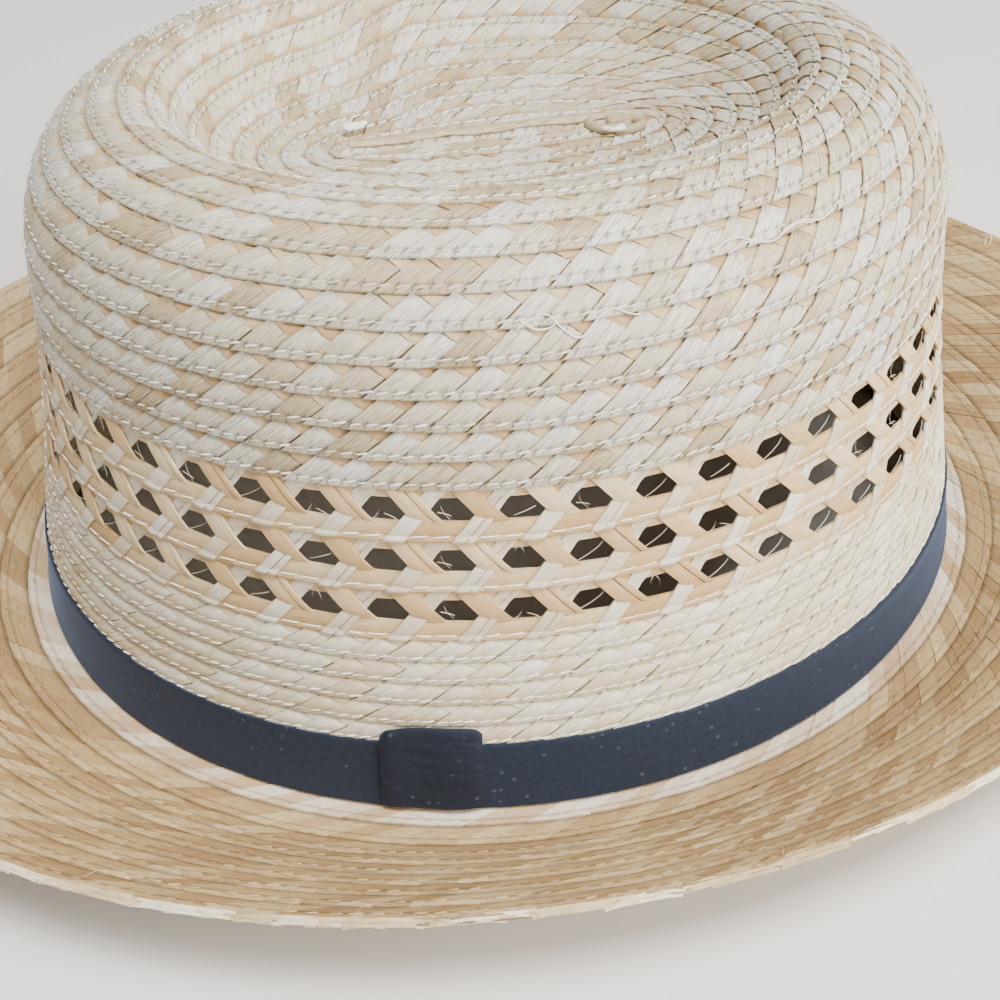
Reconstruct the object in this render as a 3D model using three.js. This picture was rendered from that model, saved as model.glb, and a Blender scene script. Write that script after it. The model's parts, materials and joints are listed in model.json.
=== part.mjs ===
// A plaited straw hat with a sunken oval tip, an openwork band round the crown, a rolled-up
// brim and a narrow ribbon held by a folded keeper.
// Millimetres. +Z is up and +X runs along the length of the head. The origin lies on the
// surface that the hat rests on, below the middle of the head opening.

import * as THREE from 'three';

// Crown, outside the straw at its foot, where it turns into the brim
const CROWN_LENGTH = 203;
const CROWN_WIDTH = 177;
const CROWN_HEIGHT = 101;

// Sunken tip, along and across the top of the shoulder. Its sewing starts as a straight seam.
const TIP_LENGTH = 128;
const TIP_WIDTH = 107;
const TIP_DEPTH = 15;
const TIP_SEAM_LENGTH = 50;
const TIP_FLOOR_SHARE = 0.62;

// Brim, from the foot of the crown to its cut edge, at the two sides and at the two ends
const BRIM_SIDE_WIDTH = 34.5;
const BRIM_END_WIDTH = 54.5;
const BRIM_SIDE_RISE = 22;
const BRIM_END_RISE = 20;
const BRIM_TROUGH = 1.1;

// Plaited straw, sewn in rounds whose lower or outer edge stands out over the next round
const STRAW_WALL = 1.8;
const ROUND_FOLD = 0.5;
const DENSE_ROUND = 5.2;
const FINE_ROUND = 4.2;
const BRIM_ROUND = 5;

// Openwork band: rows of six-sided gaps, measured up the straw from the foot of the crown
const GAPS_AROUND = 40;
const GAP_ROWS = 3;
const GAP_ROW_PITCH = 9.7;
const LOWEST_GAP_ROW = 42;
const GAP_LENGTH = 6.6;
const GAP_FLAT = 3.2;
const GAP_HEIGHT = 5;
const GAP_MARGIN = 0.9;

// Rounds of dense plait on the upper wall, below the shoulder
const WALL_ROUNDS = 4;

// Ribbon round the foot of the crown, and the keeper folded over its join
const RIBBON_WIDTH = 15;
const RIBBON_WALL = 1;
const KEEPER_WIDTH = 19;
const KEEPER_STAND = 4;
const KEEPER_WALL = 1.1;
const KEEPER_ANGLE = 252.5;

// Fits: the bands of straw lap over each other by half their wall
const PIECE_GAP = 0.3;
const LAP = 2;

// Straw from the foot of the crown to the top of the shoulder. inward is the share of the way
// from the oval at the foot to the oval of the tip, and up is the share of the crown's height.
const WALL_SECTION = [
  { inward: 0, up: 0 },
  { inward: 0.08, up: 0.149 },
  { inward: 0.214, up: 0.366 },
  { inward: 0.294, up: 0.512 },
  { inward: 0.357, up: 0.644 },
  { inward: 0.409, up: 0.777 },
  { inward: 0.48, up: 0.869 },
  { inward: 0.609, up: 0.94 },
  { inward: 0.791, up: 0.985 },
  { inward: 1, up: 1 },
];

// Straw from the top of the shoulder to the seam in the middle of the tip. inward is the share
// of the way from the oval of the tip to the seam, and down is the share of the tip's depth.
const TIP_SECTION = [
  { inward: 0.112, down: 0.09 },
  { inward: 0.196, down: 0.42 },
  { inward: 0.308, down: 0.76 },
  { inward: 0.458, down: 0.93 },
  { inward: 0.682, down: 1 },
  { inward: 0.97, down: 1 },
];

// Top of the brim. out is the share of its width, up of its rise and dip of its trough.
const BRIM_SECTION = [
  { out: 0, up: 0, dip: 0 },
  { out: 0.08, up: 0, dip: 1 },
  { out: 0.22, up: 0, dip: 1 },
  { out: 0.31, up: 0.05, dip: 0.4 },
  { out: 0.4, up: 0.18, dip: 0 },
  { out: 1, up: 1, dip: 0 },
];

// Sizes worked out from the ones above
const brimTop = STRAW_WALL + BRIM_TROUGH;
const crownFoot = brimTop + PIECE_GAP;
const lipWall = (STRAW_WALL - PIECE_GAP) / 2;
const gapBandFoot = LOWEST_GAP_ROW - GAP_HEIGHT / 2 - GAP_MARGIN - PIECE_GAP;
const highestGapRow = LOWEST_GAP_ROW + (GAP_ROWS - 1) * GAP_ROW_PITCH;
const gapBandTop = highestGapRow + GAP_HEIGHT / 2 + GAP_MARGIN + PIECE_GAP + LAP;
const wallTop = gapBandTop + WALL_ROUNDS * DENSE_ROUND + PIECE_GAP;
const ribbonFace = PIECE_GAP + RIBBON_WALL;

// A ring is an oval with half its length and width, and its height at the sides and the ends.
function ring(halfLength, halfWidth, sideHeight, endHeight = sideHeight) {
  return { halfLength, halfWidth, sideHeight, endHeight };
}

// Angles that space the gaps evenly round the crown. Every piece has its corners there.
function evenAngles(count) {
  const oval = new THREE.EllipseCurve(0, 0, CROWN_LENGTH, CROWN_WIDTH, 0, 2 * Math.PI);
  const spots = oval.getSpacedPoints(count).slice(0, count);
  return spots.map((p) => Math.atan2(p.y / CROWN_WIDTH, p.x / CROWN_LENGTH));
}

const angles = evenAngles(GAPS_AROUND);

function ringCorners(oval) {
  return angles.map((angle) => {
    const endShare = Math.cos(angle) ** 2;
    const height = THREE.MathUtils.lerp(oval.sideHeight, oval.endHeight, endShare);
    return new THREE.Vector3(
      oval.halfLength * Math.cos(angle),
      oval.halfWidth * Math.sin(angle),
      height,
    );
  });
}

// The crown's section as one smooth curve. A point holds half the length and half the width,
// both divided by the square root of two, and the height, so that a distance along the curve
// is a mean distance up the straw.
function crownCurve() {
  const foot = [CROWN_LENGTH / 2, CROWN_WIDTH / 2];
  const tip = [TIP_LENGTH / 2, TIP_WIDTH / 2];
  const seam = [TIP_SEAM_LENGTH / 2, 0];
  const spot = (from, to, share, height) => new THREE.Vector3(
    THREE.MathUtils.lerp(from[0], to[0], share) / Math.SQRT2,
    THREE.MathUtils.lerp(from[1], to[1], share) / Math.SQRT2,
    height,
  );
  const wall = WALL_SECTION.map((row) => spot(foot, tip, row.inward, row.up * CROWN_HEIGHT));
  const sunk = TIP_SECTION.map((row) => {
    return spot(tip, seam, row.inward, CROWN_HEIGHT - row.down * TIP_DEPTH);
  });
  const curve = new THREE.CatmullRomCurve3([...wall, ...sunk]);
  curve.arcLengthDivisions = 600;
  return curve;
}

const crown = crownCurve();
const crownReach = crown.getLength();

// The ring a distance along the crown's straw, standing out from its outer face.
function crownRing(along, out = 0) {
  const share = THREE.MathUtils.clamp(along / crownReach, 0, 1);
  const spot = crown.getPointAt(share);
  const run = crown.getTangentAt(share);
  const inward = (run.x + run.y) / Math.SQRT2;
  const steep = Math.hypot(inward, run.z);
  return ring(
    spot.x * Math.SQRT2 + (out * run.z) / steep,
    spot.y * Math.SQRT2 + (out * run.z) / steep,
    crownFoot + spot.z - (out * inward) / steep,
  );
}

// A level ring at the foot of the crown, standing out from its outer face.
function footRing(out = 0) {
  return ring(CROWN_LENGTH / 2 + out, CROWN_WIDTH / 2 + out, crownFoot);
}

// Skins rings that close on themselves, up the outside and down the inside. A cap's rings are
// parted after the ring numbered middle, where a fan fills each face. Each row of gaps names
// the rings below it on the outside and above it on the inside, and its middle's share of each.
function skin(rings, { middle = -1, gapRows = [] } = {}) {
  const corners = rings.flatMap(ringCorners);
  const faces = [];
  const count = angles.length;
  const at = (k, j) => (k % rings.length) * count + (j % count);
  const add = (point) => corners.push(point) - 1;
  const pierced = new Set(gapRows.flatMap((row) => [row.outerRing, row.innerRing]));

  for (let k = 0; k < rings.length; k += 1) {
    if (k === middle || pierced.has(k)) continue;
    for (let j = 0; j < count; j += 1) {
      faces.push(at(k, j), at(k, j + 1), at(k + 1, j + 1));
      faces.push(at(k, j), at(k + 1, j + 1), at(k + 1, j));
    }
  }

  if (middle >= 0) {
    const outerSpot = new THREE.Vector3(0, 0, rings[middle].sideHeight);
    const innerSpot = new THREE.Vector3(0, 0, rings[middle + 1].sideHeight);
    const outerMiddle = add(outerSpot);
    const innerMiddle = add(innerSpot);
    for (let j = 0; j < count; j += 1) {
      faces.push(at(middle, j), at(middle, j + 1), outerMiddle);
      faces.push(innerMiddle, at(middle + 1, j + 1), at(middle + 1, j));
    }
  }

  for (const row of gapRows) {
    for (let j = 0; j < count; j += 1) {
      const outer = pierceCell(corners, faces, cellCorners(at, row.outerRing, j), row.outerSpan);
      const inner = pierceCell(corners, faces, cellCorners(at, row.innerRing, j), row.innerSpan);
      const facing = [0, 5, 4, 3, 2, 1].map((n) => inner[n]);
      for (let n = 0; n < outer.length; n += 1) {
        const next = (n + 1) % outer.length;
        faces.push(outer[next], outer[n], facing[n]);
        faces.push(outer[next], facing[n], facing[next]);
      }
    }
  }
  return solid(corners, faces);
}

function cellCorners(at, k, j) {
  return [at(k, j), at(k, j + 1), at(k + 1, j + 1), at(k + 1, j)];
}

// Fills one cell round a six-sided gap and returns the gap's corners, from its left point
// round over its top. The span gives the shares of the cell's height where the gap starts,
// has its side points and ends.
function pierceCell(corners, faces, cell, [low, mid, high]) {
  const [a, b, c, d] = cell.map((n) => corners[n]);
  const across = b.distanceTo(a);
  const pointShare = GAP_LENGTH / 2 / across;
  const flatShare = GAP_FLAT / 2 / across;
  const spot = (u, v) => {
    const below = a.clone().lerp(b, u);
    const above = d.clone().lerp(c, u);
    return corners.push(below.lerp(above, v)) - 1;
  };
  const gap = [
    spot(0.5 - pointShare, mid),
    spot(0.5 - flatShare, high),
    spot(0.5 + flatShare, high),
    spot(0.5 + pointShare, mid),
    spot(0.5 + flatShare, low),
    spot(0.5 - flatShare, low),
  ];
  const [lowLeft, lowRight, highRight, highLeft] = cell;
  faces.push(highLeft, lowLeft, gap[0]);
  faces.push(lowLeft, gap[5], gap[0]);
  faces.push(lowLeft, lowRight, gap[5]);
  faces.push(lowRight, gap[4], gap[5]);
  faces.push(lowRight, gap[3], gap[4]);
  faces.push(lowRight, highRight, gap[3]);
  faces.push(highRight, gap[2], gap[3]);
  faces.push(highRight, highLeft, gap[2]);
  faces.push(highLeft, gap[1], gap[2]);
  faces.push(highLeft, gap[0], gap[1]);
  return gap;
}

function solid(corners, faces) {
  const geometry = new THREE.BufferGeometry();
  geometry.setFromPoints(corners);
  geometry.setIndex(faces);
  geometry.computeVertexNormals();
  return geometry;
}

// Rings of sewn rounds from one place along the crown's straw to another.
function sewnRounds(start, end, pitch) {
  const rounds = Math.max(1, Math.round((end - start) / pitch));
  const step = (end - start) / rounds;
  const rings = [];
  for (let n = 0; n < rounds; n += 1) {
    rings.push(crownRing(start + n * step, ROUND_FOLD));
    rings.push(crownRing(start + (n + 1) * step));
  }
  return rings;
}

// Plain rings from one place along the crown's straw to another, with even spacing.
function plainRings(start, end, spacing, out) {
  const steps = Math.max(1, Math.round(Math.abs(end - start) / spacing));
  const rings = [];
  for (let n = 0; n <= steps; n += 1) {
    rings.push(crownRing(THREE.MathUtils.lerp(start, end, n / steps), out));
  }
  return rings;
}

// The dense plait of the tip and the shoulder, with a lip over the wall. Its rounds stand out
// down to the floor of the tip, which is smooth to the seam.
function crownTipGeometry() {
  const lipFoot = wallTop - LAP;
  const floorEdge = crownReach - (TIP_WIDTH / 2) * TIP_FLOOR_SHARE;
  const rounds = sewnRounds(lipFoot, floorEdge, DENSE_ROUND);
  const floor = plainRings(floorEdge, crownReach, 2 * DENSE_ROUND, 0).slice(1);
  const outer = [...rounds, ...floor];
  const inner = plainRings(crownReach, wallTop + PIECE_GAP, 3 * DENSE_ROUND, -STRAW_WALL);
  const lip = [crownRing(wallTop + PIECE_GAP, -lipWall), crownRing(lipFoot, -lipWall)];
  return skin([...outer, ...inner, ...lip], { middle: outer.length - 1 });
}

// The dense plait of the upper wall: a lip over the openwork band, and a rebate above.
function crownWallGeometry() {
  const lipFoot = gapBandTop - LAP;
  const outerTop = wallTop - LAP - PIECE_GAP;
  const outer = sewnRounds(lipFoot, outerTop, DENSE_ROUND);
  const rebate = [
    crownRing(outerTop, -lipWall - PIECE_GAP),
    crownRing(wallTop, -lipWall - PIECE_GAP),
  ];
  const inner = [crownRing(wallTop, -STRAW_WALL), crownRing(gapBandTop + PIECE_GAP, -STRAW_WALL)];
  const lip = [crownRing(gapBandTop + PIECE_GAP, -lipWall), crownRing(lipFoot, -lipWall)];
  return skin([...outer, ...rebate, ...inner, ...lip]);
}

// The openwork band: a cell for each gap, a lip over the plait below, and a rebate above.
function openworkGeometry() {
  const lipFoot = gapBandFoot - LAP;
  const innerFoot = gapBandFoot + PIECE_GAP;
  const outerTop = gapBandTop - LAP - PIECE_GAP;
  const rowMiddle = (n) => LOWEST_GAP_ROW + n * GAP_ROW_PITCH;
  const bridge = (n) => rowMiddle(n) + GAP_ROW_PITCH / 2;
  const outer = [];
  const inner = [];
  const gapRows = [];
  for (let n = 0; n < GAP_ROWS; n += 1) {
    const lowest = n === 0;
    const highest = n === GAP_ROWS - 1;
    const outerLow = lowest ? lipFoot : bridge(n - 1);
    const outerHigh = highest ? outerTop : bridge(n);
    const innerLow = lowest ? innerFoot : bridge(n - 1);
    const innerHigh = highest ? gapBandTop : bridge(n);
    const levels = [-GAP_HEIGHT / 2, 0, GAP_HEIGHT / 2].map((rise) => rowMiddle(n) + rise);
    gapRows.push({
      outerRing: outer.length,
      outerSpan: levels.map((s) => (s - outerLow) / (outerHigh - outerLow)),
      innerSpan: levels.map((s) => (innerHigh - s) / (innerHigh - innerLow)).reverse(),
    });
    outer.push(crownRing(outerLow, ROUND_FOLD), crownRing(outerHigh));
    inner.unshift(crownRing(innerLow, -STRAW_WALL));
    if (highest) inner.unshift(crownRing(innerHigh, -STRAW_WALL));
  }
  const rebate = [
    crownRing(outerTop, -lipWall - PIECE_GAP),
    crownRing(gapBandTop, -lipWall - PIECE_GAP),
  ];
  const lip = [crownRing(innerFoot, -lipWall), crownRing(lipFoot, -lipWall)];
  const innerStart = outer.length + rebate.length;
  gapRows.forEach((row, n) => {
    row.innerRing = innerStart + GAP_ROWS - 1 - n;
  });
  return skin([...outer, ...rebate, ...inner, ...lip], { gapRows });
}

// The fine plait from the brim to the openwork band: plain behind the ribbon, then in rounds.
function crownBaseGeometry() {
  const outerTop = gapBandFoot - LAP - PIECE_GAP;
  const roundsFoot = RIBBON_WIDTH + PIECE_GAP;
  const plain = [footRing(), crownRing(RIBBON_WIDTH / 2), crownRing(roundsFoot)];
  const rounds = sewnRounds(roundsFoot, outerTop, FINE_ROUND);
  const rebate = [
    crownRing(outerTop, -lipWall - PIECE_GAP),
    crownRing(gapBandFoot, -lipWall - PIECE_GAP),
  ];
  const inner = plainRings(gapBandFoot, FINE_ROUND, 4 * FINE_ROUND, -STRAW_WALL);
  return skin([...plain, ...rounds, ...rebate, ...inner, footRing(-STRAW_WALL)]);
}

// A ring of the brim, at a share of its width and standing up from its top face.
function brimRing(out, stand) {
  const next = Math.max(1, BRIM_SECTION.findIndex((row) => row.out >= out));
  const low = BRIM_SECTION[next - 1];
  const high = BRIM_SECTION[next];
  const share = (out - low.out) / (high.out - low.out);
  const up = THREE.MathUtils.lerp(low.up, high.up, share);
  const dip = THREE.MathUtils.lerp(low.dip, high.dip, share);
  const level = brimTop - dip * BRIM_TROUGH + stand;
  return ring(
    CROWN_LENGTH / 2 + out * BRIM_END_WIDTH,
    CROWN_WIDTH / 2 + out * BRIM_SIDE_WIDTH,
    level + up * BRIM_SIDE_RISE,
    level + up * BRIM_END_RISE,
  );
}

// The brim, from under the crown's wall to its cut edge. Its underside is flat where it rests.
function brimGeometry() {
  const slope = Math.hypot(BRIM_SIDE_WIDTH, BRIM_SIDE_RISE);
  const rounds = Math.round(slope / BRIM_ROUND);
  const innerLength = CROWN_LENGTH / 2 - STRAW_WALL;
  const innerWidth = CROWN_WIDTH / 2 - STRAW_WALL;
  const under = BRIM_SECTION.map((row) => brimRing(row.out, -STRAW_WALL));
  const plainShare = BRIM_SECTION[1].out;
  const top = [];
  for (let n = rounds; n > 0; n -= 1) {
    const out = THREE.MathUtils.lerp(plainShare, 1, n / rounds);
    if (n < rounds) top.push(brimRing(out, 0));
    top.push(brimRing(out, ROUND_FOLD));
  }
  top.push(brimRing(plainShare, 0), brimRing(0, 0));
  const head = [
    ring(innerLength, innerWidth, brimTop),
    ring(innerLength, innerWidth, brimTop - STRAW_WALL),
  ];
  return skin([...under, ...top, ...head]);
}

function ribbonGeometry() {
  const levels = [RIBBON_WIDTH / 2, RIBBON_WIDTH];
  const face = [footRing(ribbonFace), ...levels.map((s) => crownRing(s, ribbonFace))];
  const back = [footRing(PIECE_GAP), ...levels.map((s) => crownRing(s, PIECE_GAP))];
  return skin([...face, ...back.reverse()]);
}

// The place a distance round a ring's corners from an angle, counted in corners.
function cornerPlace(oval, angle, distance) {
  const spots = ringCorners(oval);
  const turn = THREE.MathUtils.euclideanModulo(angle, 2 * Math.PI);
  const turns = angles.map((a) => THREE.MathUtils.euclideanModulo(a, 2 * Math.PI));
  const before = turns.filter((a) => a <= turn).length - 1;
  const after = turns[before + 1] ?? 2 * Math.PI;
  const start = before + (turn - turns[before]) / (after - turns[before]);
  const side = spots[before].distanceTo(spots[(before + 1) % spots.length]);
  return start + distance / side;
}

function betweenCorners(oval, place) {
  const spots = ringCorners(oval);
  const whole = Math.floor(place);
  return spots[whole].clone().lerp(spots[(whole + 1) % spots.length], place - whole);
}

// The keeper: a folded tab outside the ribbon that turns in over its upper edge.
function keeperGeometry() {
  const innerFace = ribbonFace + PIECE_GAP;
  const top = RIBBON_WIDTH + KEEPER_STAND;
  const turnIn = ROUND_FOLD + PIECE_GAP;
  const section = [
    footRing(innerFace + KEEPER_WALL),
    crownRing(top, innerFace + KEEPER_WALL),
    crownRing(top, turnIn),
    crownRing(RIBBON_WIDTH + PIECE_GAP, turnIn),
    crownRing(RIBBON_WIDTH + PIECE_GAP, innerFace),
    footRing(innerFace),
  ];
  const angle = THREE.MathUtils.degToRad(KEEPER_ANGLE);
  const start = cornerPlace(section[0], angle, -KEEPER_WIDTH / 2);
  const end = cornerPlace(section[0], angle, KEEPER_WIDTH / 2);
  const places = [start];
  for (let corner = Math.ceil(start); corner < end; corner += 1) places.push(corner);
  places.push(end);
  const corners = places.flatMap((place) => section.map((oval) => betweenCorners(oval, place)));
  const sides = section.length;
  const faces = [];
  for (let p = 0; p + 1 < places.length; p += 1) {
    for (let n = 0; n < sides; n += 1) {
      const here = p * sides + n;
      const above = p * sides + ((n + 1) % sides);
      faces.push(here, here + sides, above + sides);
      faces.push(here, above + sides, above);
    }
  }
  const cap = [[5, 0, 1], [5, 1, 4], [4, 1, 2], [4, 2, 3]];
  const last = (places.length - 1) * sides;
  for (const [a, b, c] of cap) {
    faces.push(a, b, c);
    faces.push(last + c, last + b, last + a);
  }
  return solid(corners, faces);
}

const strawCream = new THREE.MeshStandardMaterial({ color: 0xd9cfb8, roughness: 0.55 });
const strawPeach = new THREE.MeshStandardMaterial({ color: 0xd8bf98, roughness: 0.6 });
const strawIvory = new THREE.MeshStandardMaterial({ color: 0xe2d8b6, roughness: 0.6 });
const strawTan = new THREE.MeshStandardMaterial({ color: 0xb79f7b, roughness: 0.65 });
const ribbonNavy = new THREE.MeshStandardMaterial({ color: 0x1d2430, roughness: 0.7 });
const keeperNavy = new THREE.MeshStandardMaterial({ color: 0x171b24, roughness: 0.85 });

function piece(name, geometry, material) {
  const mesh = new THREE.Mesh(geometry, material);
  mesh.name = name;
  return mesh;
}

const hat = new THREE.Group();
hat.add(piece('crown_tip', crownTipGeometry(), strawCream));
hat.add(piece('crown_wall', crownWallGeometry(), strawCream));
hat.add(piece('openwork_band', openworkGeometry(), strawPeach));
hat.add(piece('crown_base', crownBaseGeometry(), strawIvory));
hat.add(piece('brim', brimGeometry(), strawTan));
hat.add(piece('ribbon', ribbonGeometry(), ribbonNavy));
hat.add(piece('ribbon_keeper', keeperGeometry(), keeperNavy));

export default hat;
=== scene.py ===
import json
import math

import bmesh
import bpy
import numpy as np
from mathutils import Matrix, Vector

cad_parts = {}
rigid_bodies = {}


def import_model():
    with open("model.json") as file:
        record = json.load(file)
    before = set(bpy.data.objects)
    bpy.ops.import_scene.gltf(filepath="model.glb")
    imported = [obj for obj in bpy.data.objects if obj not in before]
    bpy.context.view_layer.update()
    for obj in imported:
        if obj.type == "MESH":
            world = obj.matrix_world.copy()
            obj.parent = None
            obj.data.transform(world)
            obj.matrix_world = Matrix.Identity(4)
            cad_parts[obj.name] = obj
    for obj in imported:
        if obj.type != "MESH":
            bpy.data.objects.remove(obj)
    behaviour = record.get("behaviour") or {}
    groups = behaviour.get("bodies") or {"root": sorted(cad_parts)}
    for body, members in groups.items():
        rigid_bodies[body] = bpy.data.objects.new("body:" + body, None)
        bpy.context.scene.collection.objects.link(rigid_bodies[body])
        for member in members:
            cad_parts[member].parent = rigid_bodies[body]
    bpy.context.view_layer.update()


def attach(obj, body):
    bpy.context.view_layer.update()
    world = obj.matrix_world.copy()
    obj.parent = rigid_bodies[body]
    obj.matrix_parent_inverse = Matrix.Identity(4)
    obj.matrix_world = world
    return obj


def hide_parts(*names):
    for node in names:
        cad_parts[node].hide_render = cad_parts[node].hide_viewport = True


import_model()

# Dense plait of the crown's tip and upper wall. Pale split straws lean one way, over and under
# darker ones that lean the other way. The plait is drawn flat, then wound in rounds along the
# section of the hatter's block, and thread is sewn through its folded lower edge.

MM = 0.001
CROWN_LENGTH = 203 * MM
CROWN_WIDTH = 177 * MM
CROWN_HEIGHT = 101 * MM
TIP_LENGTH = 128 * MM
TIP_WIDTH = 107 * MM
TIP_DEPTH = 15 * MM
TIP_SEAM_LENGTH = 50 * MM
CROWN_FOOT = 3.2 * MM
SECTION_STEPS = 60

# inward: share of the way from the foot's oval to the tip's oval. up: share of the height.
WALL_SECTION = [
    {"inward": 0, "up": 0},
    {"inward": 0.08, "up": 0.149},
    {"inward": 0.214, "up": 0.366},
    {"inward": 0.294, "up": 0.512},
    {"inward": 0.357, "up": 0.644},
    {"inward": 0.409, "up": 0.777},
    {"inward": 0.48, "up": 0.869},
    {"inward": 0.609, "up": 0.94},
    {"inward": 0.791, "up": 0.985},
    {"inward": 1, "up": 1},
]
# inward: share of the way from the tip's oval to the seam. down: share of the tip's depth.
TIP_SECTION = [
    {"inward": 0.112, "down": 0.09},
    {"inward": 0.196, "down": 0.42},
    {"inward": 0.308, "down": 0.76},
    {"inward": 0.458, "down": 0.93},
    {"inward": 0.682, "down": 1},
    {"inward": 0.97, "down": 1},
]


def crown_section():
    """The block's section as rows of half length, half width and height, close together. The
    half sizes are over the root of two, so distances along it are those at 45 degrees round."""
    foot = np.array([CROWN_LENGTH / 2, CROWN_WIDTH / 2])
    tip = np.array([TIP_LENGTH / 2, TIP_WIDTH / 2])
    seam = np.array([TIP_SEAM_LENGTH / 2, 0])
    rows = [[*(foot + (tip - foot) * r["inward"]), r["up"] * CROWN_HEIGHT] for r in WALL_SECTION]
    rows += [
        [*(tip + (seam - tip) * r["inward"]), CROWN_HEIGHT - r["down"] * TIP_DEPTH]
        for r in TIP_SECTION
    ]
    knots = np.array(rows)
    knots[:, :2] /= math.sqrt(2)
    ends = [2 * knots[0] - knots[1], 2 * knots[-1] - knots[-2]]
    knots = np.vstack([ends[0], knots, ends[1]])
    fine = []
    for n in range(1, len(knots) - 2):
        p0, p1, p2, p3 = knots[n - 1:n + 3]
        t0, t1, t2 = (math.sqrt(np.linalg.norm(b - a)) for a, b in ((p0, p1), (p1, p2), (p2, p3)))
        m1 = ((p1 - p0) / t0 - (p2 - p0) / (t0 + t1) + (p2 - p1) / t1) * t1
        m2 = ((p2 - p1) / t1 - (p3 - p1) / (t1 + t2) + (p3 - p2) / t2) * t1
        w = np.linspace(0, 1, SECTION_STEPS, endpoint=False)[:, None]
        bend, twist = 3 * (p2 - p1) - 2 * m1 - m2, 2 * (p1 - p2) + m1 + m2
        fine.append(p1 + m1 * w + bend * w**2 + twist * w**3)
    return np.vstack([*fine, knots[-2]])


def reach_along(points):
    """How far along a row of points each of them is."""
    return np.concatenate([[0], np.cumsum(np.linalg.norm(np.diff(points, axis=0), axis=1))])


def unit(vectors):
    return vectors / np.maximum(np.linalg.norm(vectors, axis=-1, keepdims=True), 1e-12)


section = crown_section()
section_reach = reach_along(section)
crown_reach = section_reach[-1]


def crown_spot(along, angle):
    """Points on the crown, a distance up the straw from its foot, at angles round it."""
    a, b, z = (np.interp(along, section_reach, section[:, k]) for k in range(3))
    root = math.sqrt(2)
    return np.stack([a * root * np.cos(angle), b * root * np.sin(angle), CROWN_FOOT + z + 0 * angle], -1)


# A round of plait is drawn 5.2 mm high, and a guide, four points to a cell, fits it to its place.
DRAWN_HEIGHT = 5.2
ROUND_HEIGHT = DRAWN_HEIGHT * MM
GUIDE_STEPS = 4
OVAL_STEPS = 1440
TURN_STEPS = 360


def oval_angle(turns):
    """Angles that are evenly spaced along the foot's oval, for a number of turns round it."""
    fine = np.linspace(0, 2 * math.pi, OVAL_STEPS + 1)
    reach = reach_along(np.stack([CROWN_LENGTH * np.cos(fine), CROWN_WIDTH * np.sin(fine)], -1))
    whole = np.floor(turns)
    return whole * 2 * math.pi + np.interp((turns - whole) * reach[-1], reach, fine)


# The step up to the next round: its share of a turn, and where round the oval it starts.
STEP_SHARE = 0.07
STEP_TURN = 0.27


def round_number(turns, last):
    """Rounds are level, and the plait climbs to the next one in a short step at the back."""
    whole = np.floor(turns)
    climb = np.clip((turns - whole) / STEP_SHARE, 0, 1)
    climb = climb * climb * (3 - 2 * climb)
    return np.minimum(np.where(whole < 1, 0.0, whole - 1 + climb), last - 1)


guides_made = []


def lay_guide(name, spot, cells, turn_at, last):
    """A line of points along the plait's exposed edge. It also holds how the straw's surface
    runs from there: up, across the round, with its curl, and out, with its tilt.
    spot(rounds, angle) gives the surface, and turn_at(cells) the turns so far."""
    count = int(cells * GUIDE_STEPS) + 2
    turns = turn_at(np.arange(count) / GUIDE_STEPS)
    rounds = round_number(turns, last)
    angle = oval_angle(turns + STEP_TURN)
    foot, middle, head = (spot(rounds + share, angle) for share in (0, 0.5, 1))
    curl = (head - 2 * middle + foot) * 2 / ROUND_HEIGHT**2
    up = (head - foot) / ROUND_HEIGHT - curl * ROUND_HEIGHT

    def outward(shift):
        side = spot(rounds + shift, angle + 0.01) - spot(rounds + shift, angle - 0.01)
        rise = spot(rounds + shift + 0.05, angle) - spot(rounds + shift - 0.05, angle)
        return unit(np.cross(side, rise))

    out = outward(0.1)
    tilt = (outward(0.9) - out) / ROUND_HEIGHT
    mesh = bpy.data.meshes.new(name)
    mesh.from_pydata(foot.tolist(), [], [])
    for key, values in (("up", up), ("curl", curl), ("out", out), ("tilt", tilt)):
        store = mesh.attributes.new(key, "FLOAT_VECTOR", "POINT")
        store.data.foreach_set("vector", values.astype(np.float32).ravel())
    guides_made.append(bpy.data.objects.new(name, mesh))
    return guides_made[-1]


def turns_by_length(spot, rounds, cell_length):
    """How many cells of a length fit in the rounds, and the turns at each cell's start."""
    turns = np.linspace(0, rounds + STEP_SHARE, int(rounds * TURN_STEPS) + 1)
    angle = oval_angle(turns + STEP_TURN)
    middle = spot(round_number(turns, rounds) + 0.35, angle)
    reach = reach_along(middle)
    cells = int(reach[-1] / cell_length)
    return cells, lambda cell: np.interp(cell * cell_length, reach, turns)


def wire(tree, kind, links, **settings):
    """Adds a node, sets it, and fills its inputs with values or with other nodes' outputs."""
    node = tree.nodes.new(kind)
    for key, value in settings.items():
        setattr(node, key, value)
    for place, value in links.items():
        sockets = [s for s in node.inputs if s.enabled and s.name == place]
        socket = node.inputs[place] if isinstance(place, int) else sockets[0]
        if isinstance(value, bpy.types.NodeSocket):
            tree.links.new(value, socket)
        else:
            socket.default_value = value
    return next((s for s in node.outputs if s.enabled), None)


def maths(tree, operation, *values):
    return wire(tree, "ShaderNodeMath", dict(enumerate(values)), operation=operation)


def vector_maths(tree, operation, *values):
    return wire(tree, "ShaderNodeVectorMath", dict(enumerate(values)), operation=operation)


def parts_of(tree, vector):
    node = tree.nodes.new("ShaderNodeSeparateXYZ")
    tree.links.new(vector, node.inputs[0])
    return node.outputs


def mixed(tree, factor, a, b, kind="RGBA", **settings):
    return wire(tree, "ShaderNodeMix", {"Factor": factor, "A": a, "B": b}, data_type=kind, **settings)


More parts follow.
